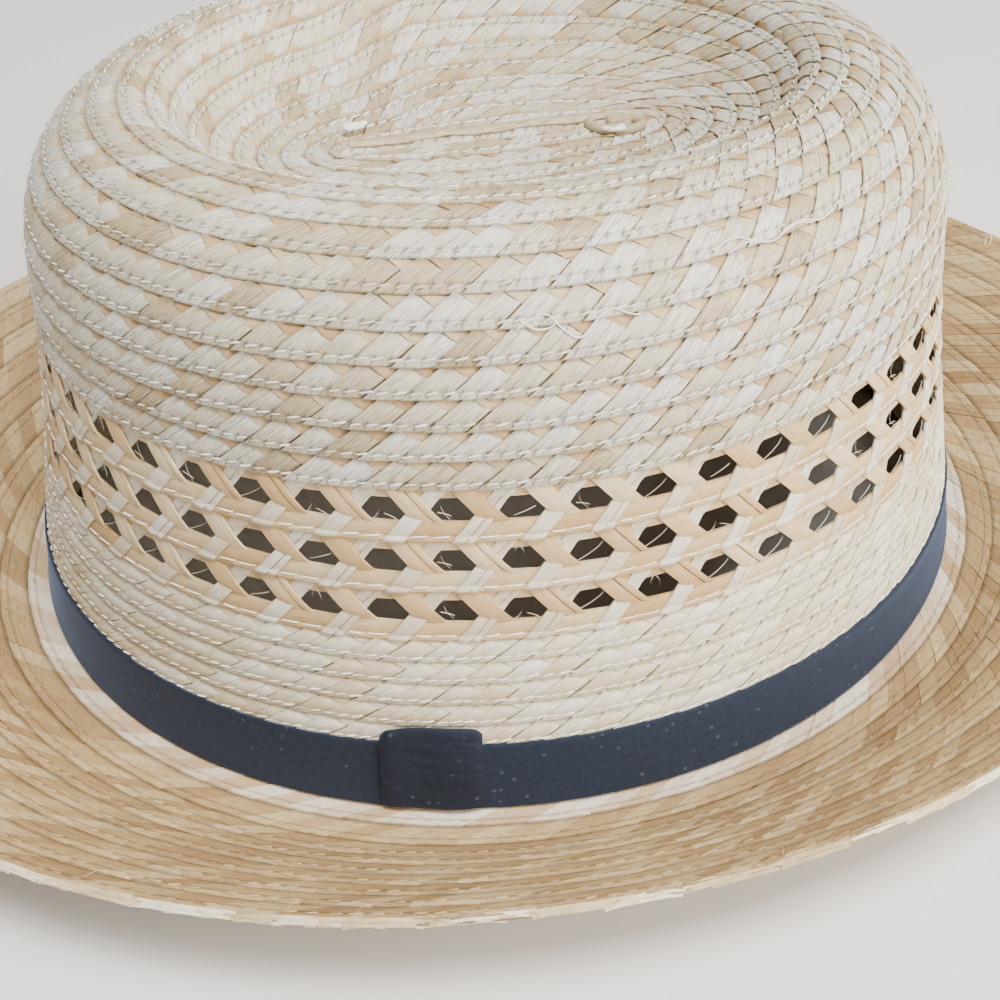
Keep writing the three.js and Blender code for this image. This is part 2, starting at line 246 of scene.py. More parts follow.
def winding_tree():
    """Lays drawn straws end to end as a flat strip, and winds the strip along a guide."""
    tree = bpy.data.node_groups.new("wind_plait", "GeometryNodeTree")
    face = tree.interface
    face.new_socket("Geometry", in_out="OUTPUT", socket_type="NodeSocketGeometry")
    for name, kind in (
        ("Guide", "NodeSocketObject"), ("Straws", "NodeSocketCollection"),
        ("Start", "NodeSocketFloat"), ("Count", "NodeSocketInt"), ("Spacing", "NodeSocketFloat"),
        ("Seed", "NodeSocketInt"), ("Shift", "NodeSocketVector"), ("Lean", "NodeSocketFloat"),
        ("Ripple", "NodeSocketFloat"), ("Ripple Scale", "NodeSocketFloat"),
        ("Finish", "NodeSocketMaterial"),
    ):
        face.new_socket(name, in_out="INPUT", socket_type=kind)
    given = tree.nodes.new("NodeGroupInput").outputs
    line = wire(tree, "GeometryNodeMeshLine", {
        "Count": given["Count"],
        "Start Location": wire(tree, "ShaderNodeCombineXYZ", {"X": given["Start"]}),
        "Offset": wire(tree, "ShaderNodeCombineXYZ", {"X": given["Spacing"]}),
    })
    drawn = wire(tree, "GeometryNodeCollectionInfo", {
        "Collection": given["Straws"], "Separate Children": True, "Reset Children": True,
    })
    seed = given["Seed"]

    def chance(kind, low, high, step):
        return wire(tree, "FunctionNodeRandomValue", {
            "Min": low, "Max": high, "Seed": maths(tree, "ADD", seed, float(step)),
        }, data_type=kind)

    def store(geometry, name, value, kind, domain):
        return wire(tree, "GeometryNodeStoreNamedAttribute", {
            "Geometry": geometry, "Name": name, "Value": value,
        }, data_type=kind, domain=domain)

    lean = maths(tree, "MULTIPLY", chance("FLOAT", -1.0, 1.0, 1), given["Lean"])
    laid = wire(tree, "GeometryNodeInstanceOnPoints", {
        "Points": line, "Instance": drawn, "Pick Instance": True,
        "Instance Index": chance("INT", 0, 1000, 2),
    })
    laid = wire(tree, "GeometryNodeTranslateInstances", {
        "Instances": laid,
        "Translation": vector_maths(
            tree, "MULTIPLY", chance("FLOAT_VECTOR", (-1, -1, -1), (1, 1, 1), 3), given["Shift"]),
    })
    laid = store(laid, "tone", chance("FLOAT", 0.0, 1.0, 4), "FLOAT", "INSTANCE")
    laid = store(laid, "lean", lean, "FLOAT", "INSTANCE")
    strip = wire(tree, "GeometryNodeRealizeInstances", {"Geometry": laid})
    place = tree.nodes.new("GeometryNodeInputPosition").outputs[0]
    strip = store(strip, "lay", place, "FLOAT_VECTOR", "POINT")

    x, y, z = parts_of(tree, place)
    across = maths(tree, "DIVIDE", y, ROUND_HEIGHT)
    leaning = wire(tree, "GeometryNodeInputNamedAttribute", {"Name": "lean"}, data_type="FLOAT")
    x = maths(tree, "ADD", x, maths(tree, "MULTIPLY", leaning, across))
    noise = tree.nodes.new("ShaderNodeTexNoise")
    tree.links.new(wire(tree, "ShaderNodeCombineXYZ", {"X": x, "Y": across}), noise.inputs["Vector"])
    tree.links.new(given["Ripple Scale"], noise.inputs["Scale"])
    noise.inputs["Detail"].default_value = 1.0
    push = parts_of(tree, vector_maths(tree, "SUBTRACT", noise.outputs["Color"], (0.5, 0.5, 0.5)))
    y = maths(tree, "ADD", y, maths(tree, "MULTIPLY", push[1], given["Ripple"]))
    z = maths(tree, "ADD", z, maths(tree, "MULTIPLY", push[2], given["Ripple"]))

    guide = tree.nodes.new("GeometryNodeObjectInfo")
    tree.links.new(given["Guide"], guide.inputs[0])
    step = maths(tree, "MULTIPLY", x, float(GUIDE_STEPS))
    before = maths(tree, "FLOOR", step)
    part = maths(tree, "SUBTRACT", step, before)
    after = maths(tree, "ADD", before, 1.0)

    def along_guide(value):
        ends = [
            wire(tree, "GeometryNodeSampleIndex", {
                "Geometry": guide.outputs["Geometry"], "Value": value, "Index": index,
            }, data_type="FLOAT_VECTOR", domain="POINT", clamp=True)
            for index in (before, after)
        ]
        return mixed(tree, part, *ends, "VECTOR")

    def named(key):
        return wire(tree, "GeometryNodeInputNamedAttribute", {"Name": key}, data_type="FLOAT_VECTOR")

    up, curl, out, tilt = (along_guide(named(key)) for key in ("up", "curl", "out", "tilt"))
    spot = along_guide(tree.nodes.new("GeometryNodeInputPosition").outputs[0])

    def scaled(vector, amount):
        return wire(tree, "ShaderNodeVectorMath", {"Vector": vector, "Scale": amount}, operation="SCALE")

    spot = vector_maths(tree, "ADD", spot, scaled(up, y))
    spot = vector_maths(tree, "ADD", spot, scaled(curl, maths(tree, "MULTIPLY", y, y)))
    spot = vector_maths(tree, "ADD", spot, scaled(vector_maths(tree, "ADD", out, scaled(tilt, y)), z))
    strip = wire(tree, "GeometryNodeSetPosition", {"Geometry": strip, "Position": spot})
    strip = wire(tree, "GeometryNodeRealizeInstances", {"Geometry": strip})
    strip = wire(tree, "GeometryNodeSetMaterial", {"Geometry": strip, "Material": given["Finish"]})
    end = tree.nodes.new("NodeGroupOutput")
    tree.links.new(strip, end.inputs[0])
    return tree


wind_plait = winding_tree()


def placed(name, data):
    item = bpy.data.objects.new(name, data)
    bpy.context.collection.objects.link(item)
    return item


def smooth(mesh):
    mesh.polygons.foreach_set("use_smooth", [True] * len(mesh.polygons))
    mesh.set_sharp_from_angle(angle=math.radians(50))


def write_uv(mesh, uv):
    """Gives the mesh a UV map in mm, from one pair of numbers for each of its points."""
    layer = mesh.uv_layers.new(name="straw")
    corner = np.empty(len(mesh.loops), int)
    mesh.loops.foreach_get("vertex_index", corner)
    layer.data.foreach_set("uv", np.array(uv, np.float32)[corner].ravel())


def flat_straw(pairs, arch=0.12, thick=0.4, columns=3, grain="up"):
    """A closed flat straw through pairs of points in mm, one on its left edge and one on its
    right. Its fibres run up its middle, or along the strip."""
    left, right = np.array(pairs, float).swapaxes(0, 1)
    share = np.linspace(0, 1, columns + 1)
    top = left[:, None] * (1 - share)[None, :, None] + right[:, None] * share[None, :, None]
    top[:, :, 2] += arch * (1 - (2 * share - 1) ** 2)
    under = np.stack([right, left], 1) - [0, 0, thick]
    loops = np.concatenate([top, under], 1)
    count, size = loops.shape[:2]
    points = loops.reshape(-1, 3)
    faces = [
        [i * size + k, i * size + (k + 1) % size, (i + 1) * size + (k + 1) % size, (i + 1) * size + k]
        for i in range(count - 1) for k in range(size)
    ]
    faces.append(list(range(size))[::-1])
    faces.append([(count - 1) * size + k for k in range(size)])
    middle = (left + right) / 2
    if grain == "up":
        run = reach_along(middle)
        wide = np.linalg.norm(right - left, axis=1)[:, None]
        side = np.concatenate([share, [1, 0]])[None, :] * wide
        uv = np.stack([side, np.repeat(run[:, None], size, 1)], -1).reshape(-1, 2)
    else:
        uv = np.stack([points[:, 1], points[:, 0]], -1)
    return points, faces, uv


drawings_made = []


def drawn_straws(name, variants, cell_length, height=DRAWN_HEIGHT):
    """A collection of drawings for the strip. Each is a few straws, drawn in mm on a round of
    some height. Their length along the strip is then counted in cells."""
    collection = bpy.data.collections.new(name)
    bpy.context.scene.collection.children.link(collection)
    drawings_made.append(collection)
    for number, straws in enumerate(variants):
        points, faces, uvs = [], [], []
        for straw_points, straw_faces, straw_uv in straws:
            start = len(points)
            points += [
                (x / cell_length, y * ROUND_HEIGHT / height, z * MM) for x, y, z in straw_points
            ]
            faces += [[start + k for k in f] for f in straw_faces]
            uvs += [(u[0] + 3.7 * number + 1.9 * len(uvs) % 11, u[1]) for u in straw_uv]
        mesh = bpy.data.meshes.new(f"{name}_{number}")
        mesh.from_pydata(points, [], faces)
        write_uv(mesh, uvs)
        collection.objects.link(bpy.data.objects.new(f"{name}_{number}", mesh))
    return collection


def ramp(tree, factor, stops):
    node = tree.nodes.new("ShaderNodeValToRGB")
    tree.links.new(factor, node.inputs[0])
    while len(node.color_ramp.elements) < len(stops):
        node.color_ramp.elements.new(0.5)
    for element, (place, colour) in zip(node.color_ramp.elements, stops):
        element.position = place
        element.color = (*colour, 1) if len(colour) == 3 else colour
    return node.outputs[0]


def noise(tree, vector, stretch, detail=2.0, roughness=0.5):
    return wire(tree, "ShaderNodeTexNoise", {
        "Vector": vector_maths(tree, "MULTIPLY", vector, stretch), "Scale": 1.0,
        "Detail": detail, "Roughness": roughness,
    })


def raise_by(tree, shader, height, strength, distance):
    raised = wire(tree, "ShaderNodeBump", {
        "Strength": strength, "Distance": distance, "Height": height,
    })
    tree.links.new(raised, shader.inputs["Normal"])


def grey(value):
    return (value, value, value)


def new_finish(name):
    material = bpy.data.materials.new(name)
    material.use_nodes = True
    return material, material.node_tree, material.node_tree.nodes["Principled BSDF"]


def from_attribute(tree, name, output):
    node = tree.nodes.new("ShaderNodeAttribute")
    node.attribute_name = name
    return node.outputs[output]


def in_mm(tree):
    node = tree.nodes.new("ShaderNodeUVMap")
    node.uv_map = "straw"
    return node.outputs[0]


# A cell is one pale straw's length of plait. These are mm, and so is the pitch of the stitches
# and how far up the round they are. The rest moves and stretches the pattern of the fibres.
DENSE_CELL = 6.2
STITCH_PITCH = 2.45
STITCH_ACROSS = 1.2
TONE_JUMP = (61.0, 37.0)
FIBRE_GRAIN = (5.5, 0.28, 1.0)
BLOTCH_GRAIN = (0.55, 0.3, 1.0)


def straw_finish(name, tones, streak=0.55, groove_shade=0.35, crack=0.5, roughness=0.5, bump=0.25,
                 needle_hole_shade=0.0):
    """Split wheat straw: satin, with fibres along it and a tone that differs from one straw to
    the next. Painted shade makes it darker at the folded lower edge, along the sunk line of the
    stitches, where a round goes under the next one, and round the pricks of the needle."""
    material, tree, shader = new_finish(name)
    tone = from_attribute(tree, "tone", "Fac")
    jump = wire(tree, "ShaderNodeCombineXYZ", {
        "X": maths(tree, "MULTIPLY", tone, TONE_JUMP[0]),
        "Y": maths(tree, "MULTIPLY", tone, TONE_JUMP[1]),
    })
    moved = vector_maths(tree, "ADD", in_mm(tree), jump)
    fibres = noise(tree, moved, FIBRE_GRAIN, 5.0, 0.65)
    blotch = noise(tree, moved, BLOTCH_GRAIN)
    colour = ramp(tree, tone, tones)
    shade = ramp(tree, fibres, [(0.3, grey(1 - streak)), (0.55, grey(0.92)), (0.75, grey(1.08))])
    slit = ramp(tree, fibres, [(0.24, grey(1 - crack)), (0.31, grey(1.0))])
    warm = ramp(tree, blotch, [(0.35, (1.0, 0.93, 0.8)), (0.6, (1.0, 1.0, 1.0))])
    along, level, _ = parts_of(tree, from_attribute(tree, "lay", "Vector"))
    across = maths(tree, "DIVIDE", level, ROUND_HEIGHT)
    # Painted shade: darker at the folded lower edge, along the stitched line and under the next round.
    dip = ramp(tree, across, [
        (0.0, grey(1 - groove_shade)), (0.06, grey(1.0)), (0.24, grey(1.0)), (0.3, grey(1 - groove_shade)),
        (0.36, grey(1.0)), (0.82, grey(1.0)), (1.0, grey(1 - 1.5 * groove_shade)),
    ])

    # Painted shade in the needle's pricks, at the gaps between the stitches.
    turn = maths(tree, "SUBTRACT", maths(tree, "MULTIPLY", along, DENSE_CELL / STITCH_PITCH),
                 maths(tree, "MULTIPLY", across, 0.9))
    beside = maths(tree, "ABSOLUTE", maths(tree, "SUBTRACT", maths(tree, "FRACT", turn), 0.5))
    above = maths(tree, "ABSOLUTE", maths(tree, "SUBTRACT", across, STITCH_ACROSS / DRAWN_HEIGHT))
    needle_hole_shade_mask = ramp(tree, maths(tree, "SUBTRACT", beside, above), [
        (0.26, grey(1.0)), (0.4, grey(1 - needle_hole_shade)),
    ])
    for layer in (shade, slit, warm, dip, needle_hole_shade_mask):
        colour = mixed(tree, 1.0, colour, layer, blend_type="MULTIPLY")
    tree.links.new(colour, shader.inputs["Base Color"])
    shader.inputs["Roughness"].default_value = roughness
    shader.inputs["Specular IOR Level"].default_value = 0.4
    raise_by(tree, shader, fibres, bump, 0.25 * MM)
    return material


silver_straw = straw_finish("silver_straw", [
    (0.0, (0.56, 0.44, 0.27)), (0.18, (0.68, 0.58, 0.40)), (0.55, (0.79, 0.73, 0.59)),
    (1.0, (0.88, 0.86, 0.80)),
], streak=0.85, groove_shade=0.3, crack=0.8, roughness=0.42, bump=0.5, needle_hole_shade=0.5)
peach_straw = straw_finish("peach_straw", [
    (0.0, (0.54, 0.34, 0.17)), (0.4, (0.64, 0.45, 0.25)), (1.0, (0.71, 0.57, 0.36)),
], streak=0.35, groove_shade=0.15)


stitch_thread = straw_finish("stitch_thread", [
    (0.0, (0.84, 0.79, 0.69)), (1.0, (0.95, 0.94, 0.90)),
], streak=0.15, groove_shade=0.0, crack=0.0, roughness=0.6)

DENSE_FOOT = 65.1 * MM
dense_rounds = round((crown_reach - DENSE_FOOT) / ROUND_HEIGHT)
dense_pitch = (crown_reach - DENSE_FOOT) / dense_rounds


def dense_spot(rounds, angle):
    return crown_spot(DENSE_FOOT + rounds * dense_pitch, angle)


# The round's rise over the block, across it from the folded edge: mm across, mm out.
ROUND_RISE = [
    (0, 0.0), (0.14, 0.24), (0.5, 0.4), (1.2, 0.22), (1.8, 0.38), (2.6, 0.42), (3.5, 0.38), (4.4, 0.28),
    (5.6, 0.06),
]
# How far the straws lean along the plait for each mm up it, and where they cross.
PALE_LEAN = 1.12
DARK_LEAN = 1.28
CROSS_START = 3.4
STRAW_GAP = 0.12
DARK_WIDTH = 4.7


def rise_at(across):
    return float(np.interp(across, [r[0] for r in ROUND_RISE], [r[1] for r in ROUND_RISE]))


def crossing_at(across):
    """How far along the plait a cell's darker straw has its edge."""
    return DENSE_CELL + PALE_LEAN * CROSS_START - DARK_LEAN * (across - CROSS_START)


def pale_straws(splits):
    """One cell's pale straw, split lengthwise at the given shares of its width."""
    cuts = [0, *splits, 1]
    straws = []
    for low, high in zip(cuts, cuts[1:]):
        pairs = []
        for across, rise in ROUND_RISE:
            crossing = crossing_at(across)
            x_left = low * DENSE_CELL + (STRAW_GAP / 2 if low else 0) + PALE_LEAN * across
            x_right = high * DENSE_CELL - (STRAW_GAP / 2 if high < 1 else STRAW_GAP) + PALE_LEAN * across
            z_left, z_right = rise + (0.42 - 0.32 * low), rise + (0.42 - 0.32 * high)
            if across > CROSS_START:
                z_left -= 0.3 * max(0, x_left - crossing)
                z_right -= 0.35 * min(1, max(0, x_right - crossing))
                x_left, x_right = min(x_left, crossing + 0.6), min(x_right, crossing + 0.7)
            pairs.append(((x_left, across, z_left), (x_right, across, z_right)))
        straws.append(flat_straw(pairs, arch=0.1, thick=0.3, columns=2 if splits else 3))
    return straws


def dark_straw(width=DARK_WIDTH):
    """One cell's darker straw, from under the round above to under the next pale straw."""
    pairs = []
    for across in (2.7, 3.5, 4.3, 5.0, 5.8):
        x, rise = crossing_at(across), rise_at(across)
        sunk = 0.28 * max(0.0, 4.0 - across)
        pairs.append(((x, across, rise + 0.16 - sunk), (x + width, across, rise - 0.14 - sunk)))
    return [flat_straw(pairs, arch=0.06, thick=0.35)]


def stitch(length=2.25, radius=0.18, start=0.1, across=STITCH_ACROSS, height=0.66, slope=0.5):
    """One thread stitch as a closed four-sided bar that dips into the straw at both ends."""
    pairs = []
    for share, wide, sink in ((0.0, 0.35, -0.25), (0.18, 1.0, 0.0), (0.82, 1.0, 0.0), (1.0, 0.35, -0.25)):
        x, level = start + share * length, across + slope * (share - 0.5)
        pairs.append([(x, level + side * radius * wide, height + sink) for side in (1, -1)])
    return flat_straw(pairs, arch=radius * 0.9, thick=radius, columns=2)


dense_cells, dense_turns = turns_by_length(dense_spot, dense_rounds, DENSE_CELL * MM)
dense_guide = lay_guide("dense_guide", dense_spot, dense_cells, dense_turns, dense_rounds)

pale_drawings = drawn_straws("pale_straws", [
    pale_straws(splits) for splits in ([], [], [0.46], [0.68], [], [0.3])
], DENSE_CELL)
dark_drawings = drawn_straws("dark_straws", [dark_straw(), dark_straw(4.3)], DENSE_CELL)
stitch_drawings = drawn_straws("stitches", [
    [stitch()], [stitch(2.4, 0.15)], [stitch(2.1, 0.19)],
], DENSE_CELL)


BACKING_WALL = 0.8
RIPPLE_SCALE = 0.8


def backing_plate(cell=DENSE_CELL):
    """A cell's length of the plait's closed backing, with open ends that weld to the next."""
    outer = [(y, rise_at(y) - 0.22) for y in (-0.05, 0.3, 1.0, 2.4, 4.2, 6.3)]
    inner = [(y, z - BACKING_WALL) for y, z in outer][::-1]
    loop = outer + inner
    size = len(loop)
    points = [(x, y, z) for x in (0, cell) for y, z in loop]
    faces = [[k, k + size, (k + 1) % size + size, (k + 1) % size] for k in range(size)]
    return [(np.array(points), faces, np.array([(p[1], p[0]) for p in points]))]


backing_drawings = drawn_straws("backing", [backing_plate()], DENSE_CELL)


def wind(name, guide, drawings, count, finish, seed, start=0.0, spacing=1.0,
         shift=(0.03, 0.1 * MM, 0.06 * MM), lean=0.04, ripple=0.25 * MM, weld=False):
    """Winds the drawings along a guide, count of them, from a start and by a spacing in cells,
    and keeps the result as a plain mesh. shift, lean and ripple are how far a straw may lie off
    its place."""
    source = placed(name + "_source", bpy.data.meshes.new(name + "_source"))
    modifier = source.modifiers.new("nodes", "NODES")
    modifier.node_group = wind_plait
    sizes = {
        "Guide": guide, "Straws": drawings, "Start": start, "Count": count, "Spacing": spacing,
        "Seed": seed, "Shift": shift, "Lean": lean, "Ripple": ripple, "Ripple Scale": RIPPLE_SCALE,
        "Finish": finish,
    }
    for item in wind_plait.interface.items_tree:
        if item.in_out == "INPUT":
            modifier[item.identifier] = sizes[item.name]
    source.update_tag()
    depsgraph = bpy.context.evaluated_depsgraph_get()
    mesh = bpy.data.meshes.new_from_object(
        source.evaluated_get(depsgraph), preserve_all_data_layers=True, depsgraph=depsgraph)
    bpy.data.objects.remove(source)
    mesh.name = name
    if weld:
        shell = bmesh.new()
        shell.from_mesh(mesh)
        bmesh.ops.remove_doubles(shell, verts=shell.verts, dist=0.02 * MM)
        bmesh.ops.holes_fill(shell, edges=shell.edges, sides=0)
        shell.to_mesh(mesh)
        shell.free()
    smooth(mesh)
    return placed(name, mesh)


def inner_straws(lean, width=DENSE_CELL):
    """One cell's straw on the plait's back, where the folded edge is turned away."""
    pairs = []
    for across, height in ((0.4, -0.75), (1.4, -0.95), (3.2, -1.22), (5.0, -1.3), (6.3, -1.1)):
        x = lean * across
        pairs.append(((x, across, height), (x + width - 0.15, across, height - 0.06)))
    return [flat_straw(pairs, arch=0.0, thick=0.32, columns=1)]


def dress(piece, slot, *nodes):
    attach(piece, "root")
    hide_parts(*nodes)


STILL = {"shift": (0, 0, 0), "lean": 0.0}
UPPER_CROWN = ("crown_tip", "crown_wall")
inner_drawings = drawn_straws("inner_straws", [inner_straws(-1.1)], DENSE_CELL)


def lay_plait(name, guide, cells, pale, dark, seed, slot, *nodes):
    """The straws of a plait, its stitches, its closed backing and its inner face."""
    stitches = int(cells * DENSE_CELL / STITCH_PITCH)
    for piece in (
        wind(name + "_pale_straws", guide, pale_drawings, cells, pale, seed),
        wind(name + "_dark_straws", guide, dark_drawings, cells, dark, seed + 1, lean=0.0),
        wind(name + "_stitches", guide, stitch_drawings, stitches, stitch_thread, seed + 2,
             spacing=STITCH_PITCH / DENSE_CELL, shift=(0.03, 0.12 * MM, 0.05 * MM), lean=0.0),
        wind(name + "_backing", guide, backing_drawings, cells, dark, seed + 3, weld=True, **STILL),
        # The inner face takes the finish of the plait's darker straws; on the tip this is partly painted
        # shade inside the crown.
        wind(name + "_inner_straws", guide, inner_drawings, cells, dark, seed + 4, lean=0.0),
    ):
        dress(piece, slot, *nodes)


lay_plait("tip", dense_guide, dense_cells, silver_straw, peach_straw, 11, "straw_dense", *UPPER_CROWN)

# Splinters: a few ends of split straw that stand off the upper crown. Each is a thin bent
# sliver, drawn in mm over one cell of the plait and wound with it.


def fibre(x0, y0, x1, y1, sag, height=0.3, width=0.13, lift=0.0):
    """A loose fibre from one place to another, bent sideways by its sag and lifted at its end."""
    pairs = []
    for share in (0, 0.35, 0.7, 1):
        bend = 4 * share * (1 - share) * sag
        x, y = x0 + (x1 - x0) * share + bend, y0 + (y1 - y0) * share + bend * 0.4
        thin = width * (1 - 0.6 * share)
        out = height + bend * 0.5 + lift * share ** 2
        pairs.append(((x, y + thin / 2, out), (x, y - thin / 2, out)))
    return flat_straw(pairs, arch=0.03, thick=0.08, columns=1)


def drawn_fibres(name, cells, cell_length, height=DRAWN_HEIGHT):
    return drawn_straws(name, [[fibre(*row) for row in rows] for rows in cells], cell_length, height)


# The splinters of some cells, each with the numbers that fibre takes, in its order.
SPLINTERS = [
    [], [(1.5, 1.3, 3.0, 4.3, 0.3, 0.8, 0.15, 0.4)], [], [],
    [(4.0, 1.1, 5.2, -0.7, -0.2, 0.75, 0.13, 0.2)], [],
    [(2.0, 3.8, 4.6, 4.4, 0.2, 0.75, 0.14, 0.4)], [], [],
    [(3.4, 2.2, 3.0, 0.2, 0.2, 0.8, 0.2, 0.3)], [], [], [],
]
splinter_drawings = drawn_fibres("splinters", SPLINTERS, DENSE_CELL)
dress(wind("tip_splinters", dense_guide, splinter_drawings, dense_cells, silver_straw, 19),
      "straw_dense", *UPPER_CROWN)

# Loose ends of the sewing thread that lie on the straw: a curl, a knot and a frayed patch.
# They are white cotton, made as thin tubes along curves through a few chosen places.


def interpolate_smooth(at, values):
    """Values read between their places along a smooth curve through them."""
    padded = np.concatenate([[2 * values[0] - values[1]], values, [2 * values[-1] - values[-2]]])
    whole = np.minimum(np.floor(at).astype(int), len(values) - 2)
    t = at - whole
    a, b, c, d = (padded[whole + k] for k in range(4))
    bend, twist = 2 * a - 5 * b + 4 * c - d, 3 * b - a - 3 * c + d
    return 0.5 * (2 * b + (c - a) * t + bend * t ** 2 + twist * t ** 3)


def loose_threads(name, paths, finish, radius=0.13 * MM, lift=0.75 * MM, sides=5):
    """Tubes along paths of (mm up the crown's section, degrees round it) just over the straw."""
    points, faces = [], []
    for path in paths:
        path = np.array(path)
        at = np.linspace(0, len(path) - 1, 8 * (len(path) - 1) + 1)
        along = interpolate_smooth(at, path[:, 0]) * MM
        angle = np.radians(interpolate_smooth(at, path[:, 1]))
        spots = crown_spot(along, angle)
        rise = crown_spot(along + 0.5 * MM, angle) - spots
        turn = crown_spot(along, angle + 0.005) - spots
        out = unit(np.cross(turn, rise))
        side = unit(np.cross(out, np.gradient(spots, axis=0)))
        first = len(points)
        for n in range(len(at)):
            for k in range(sides):
                spin = 2 * math.pi * k / sides
                over = out[n] * (lift + radius * math.sin(spin))
                points.append(spots[n] + over + side[n] * radius * math.cos(spin))
        for n in range(len(at) - 1):
            here, there = first + n * sides, first + (n + 1) * sides
            faces += [
                [here + k, here + (k + 1) % sides, there + (k + 1) % sides, there + k]
                for k in range(sides)
            ]
        faces.append([first + k for k in range(sides)][::-1])
        faces.append([first + (len(at) - 1) * sides + k for k in range(sides)])
    mesh = bpy.data.meshes.new(name)
    mesh.from_pydata([tuple(p) for p in points], [], faces)
    mesh.polygons.foreach_set("use_smooth", [True] * len(mesh.polygons))
    mesh.materials.append(finish)
    return placed(name, mesh)


def plain_finish(name, colour, roughness):
    material, _, shader = new_finish(name)
    shader.inputs["Base Color"].default_value = (*colour, 1)
    shader.inputs["Roughness"].default_value = roughness
    return material


loose_thread = plain_finish("loose_thread", (0.9, 0.89, 0.86), 0.5)
dress(loose_threads("tip_loose_threads", [
    [(91.2, 262.6), (92.6, 264.2), (92.9, 265.8), (90.4, 267.4), (89.2, 269.0), (91.6, 271.0),
     (92.6, 272.6), (91.6, 274.0), (91.0, 275.4)],
    [(92.4, 263.0), (91.0, 264.6), (91.2, 266.2), (92.4, 266.8)],
    [(97.6, 284.8), (98.6, 287.6), (97.4, 290.4), (98.4, 293.4)],
    [(96.6, 286.4), (97.4, 289.2), (96.4, 292.4), (97.6, 295.6), (96.8, 298.4)],
    [(96.9, 293.6), (97.6, 297.0), (96.6, 299.8), (97.2, 302.4)],
    [(112.4, 327.2), (113.4, 328.6), (112.2, 329.8), (111.0, 328.4), (112.2, 327.0), (113.0, 328.8)],
    [(111.6, 328.6), (109.6, 327.4), (107.6, 326.8), (105.2, 325.4)],
], loose_thread), "straw_dense", *UPPER_CROWN)

# Start of the plait, in the middle of the tip: a short straight length, folded double into a
# low ridge, with the rounds sewn about it. Its end is coiled, and a knot holds either end.

SEAM_HALF = 29 * MM
SEAM_LEVEL = CROWN_FOOT + CROWN_HEIGHT - TIP_DEPTH + 0.9 * MM
SEAM_CELLS = 9
SEAM_TURN = 0.9
SEAM_WIDTH = 4.4 * MM
SEAM_ARCH = 4 * MM
seam_start, seam_end = oval_angle(np.array([STEP_TURN, STEP_TURN + SEAM_TURN]))


def seam_spot(rounds, angle):
    """The straight length as a surface, for the guide's angles from the seam's start to its end."""
    share = (angle - seam_start) / (seam_end - seam_start)
    rounds = np.asarray(rounds) + 0 * angle
    return np.stack([
        SEAM_HALF * (2 * share - 1),
        (rounds - 0.5) * SEAM_WIDTH,
        SEAM_LEVEL - (rounds - 0.5) ** 2 * SEAM_ARCH,
    ], -1)


# The ridge's two edges: mm across the seam, and the height, pace and start of their wave.
RIDGE_EDGES = [
    {"across": 3.7, "wave": 0.25, "pace": 0.5, "start": 0},
    {"across": 1.4, "wave": 0.3, "pace": 0.37, "start": 1},
]
RIDGE_LEVEL = 1.1
ridge_places = np.linspace(2.5, SEAM_CELLS * DENSE_CELL - 4.5, 12)
ridge_pairs = [
    [(x, e["across"] + e["wave"] * math.sin(e["pace"] * x + e["start"]), RIDGE_LEVEL) for e in RIDGE_EDGES]
    for x in ridge_places
]
ridge_drawings = drawn_straws("ridge", [
    [flat_straw(ridge_pairs, arch=0.75, thick=1.2, columns=4, grain="along")],
], DENSE_CELL)
ridge_straw = straw_finish("ridge_straw", [
    (0.0, (0.55, 0.46, 0.30)), (1.0, (0.62, 0.53, 0.36)),
], streak=0.7, groove_shade=0.0, crack=0.6)
seam_guide = lay_guide(
    "seam_guide", seam_spot, SEAM_CELLS, lambda cell: cell / SEAM_CELLS * SEAM_TURN, 1)
for piece in (
    wind("seam_pale_straws", seam_guide, pale_drawings, SEAM_CELLS, silver_straw, 16),
    wind("seam_dark_straws", seam_guide, dark_drawings, SEAM_CELLS, peach_straw, 17, lean=0.0),
    wind("seam_ridge", seam_guide, ridge_drawings, 1, ridge_straw, 20, **STILL),
    wind("seam_backing", seam_guide, backing_drawings, SEAM_CELLS, peach_straw, 18, weld=True, **STILL),
):
    dress(piece, "straw_dense", "crown_tip")

dress(loose_threads("seam_turn", [
    [(161.5, 322.0), (162.7, 327.0), (160.6, 330.0), (158.9, 323.0), (160.4, 313.0), (163.6, 314.0),
     (165.2, 323.0), (164.0, 333.0), (160.8, 338.0), (157.6, 333.0), (156.8, 324.0), (157.6, 315.0)],
], ridge_straw, radius=0.95 * MM, lift=1.2 * MM, sides=9), "straw_dense", "crown_tip")
dress(loose_threads("seam_knot", [
    [(156.6, 134.0), (158.4, 138.0), (157.6, 145.0), (156.2, 141.0), (157.6, 136.0), (158.8, 143.0)],
    [(157.2, 133.0), (157.0, 139.0), (158.6, 146.0)],
    [(158.4, 310.0), (156.8, 313.0), (157.6, 318.0), (156.2, 316.0), (157.4, 311.0)],
], loose_thread, radius=0.45 * MM, lift=2.2 * MM), "straw_dense", "crown_tip")

# Fine plait at the foot of the crown, from behind the ribbon's upper edge to the openwork. It
# is the same plait made of finer ivory straws, in rounds a little over 4 mm high.

FINE_FOOT = 14.0 * MM
FINE_ROUND = 4.46 * MM
FINE_ROUNDS = 5


def fine_spot(rounds, angle):
    return crown_spot(FINE_FOOT + rounds * FINE_ROUND, angle)


